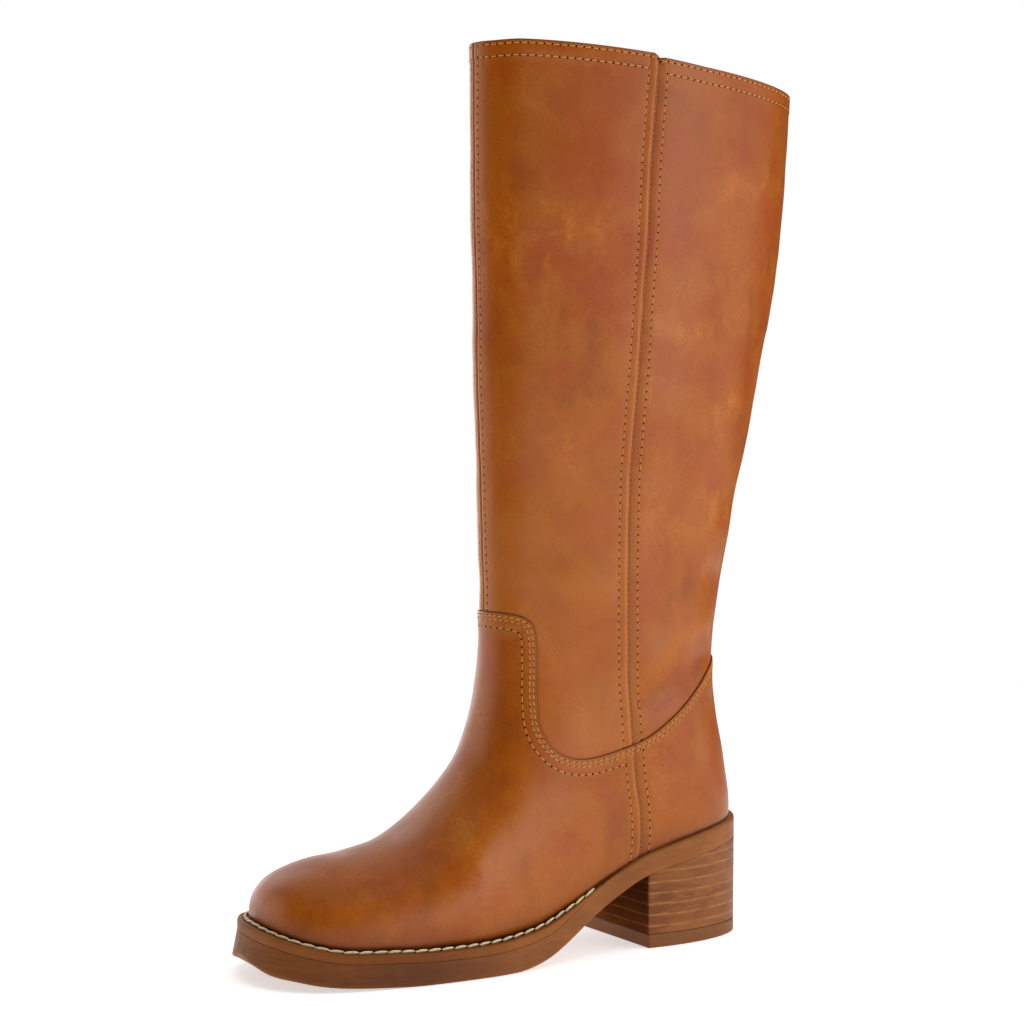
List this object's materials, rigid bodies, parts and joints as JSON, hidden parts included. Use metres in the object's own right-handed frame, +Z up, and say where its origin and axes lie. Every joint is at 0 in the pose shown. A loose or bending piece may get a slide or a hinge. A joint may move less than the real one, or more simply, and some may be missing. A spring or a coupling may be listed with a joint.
{
  "type": "knee-high boot",
  "caption": "Left knee-high leather boot with a round toe, straight leg open at the collar, stitched welt and block heel.",
  "frame": {"origin": "on the floor at the middle of the heel's wearing piece", "axes": "+X to the toe, +Y to the outer side of the foot, +Z up along the leg"},
  "size_m": [0.2957, 0.0998, 0.43],
  "materials": {
    "upper_leather": "burnished cognac calf leather, soft sheen",
    "welt_leather": "waxed vegetable-tanned welt",
    "sole_rubber": "brown moulded sole, satin",
    "stacked_leather": "stacked lifts, waxed edges",
    "lift_rubber": "brown heel rubber, satin",
    "insole_leather": "matt natural sock leather"
  },
  "bodies": {
    "root": {"outsole": "sole_rubber", "welt": "welt_leather", "heel": "stacked_leather", "top_lift": "lift_rubber", "insole": "insole_leather", "upper": "upper_leather", "shaft": "upper_leather"}
  },
  "joints": []
}
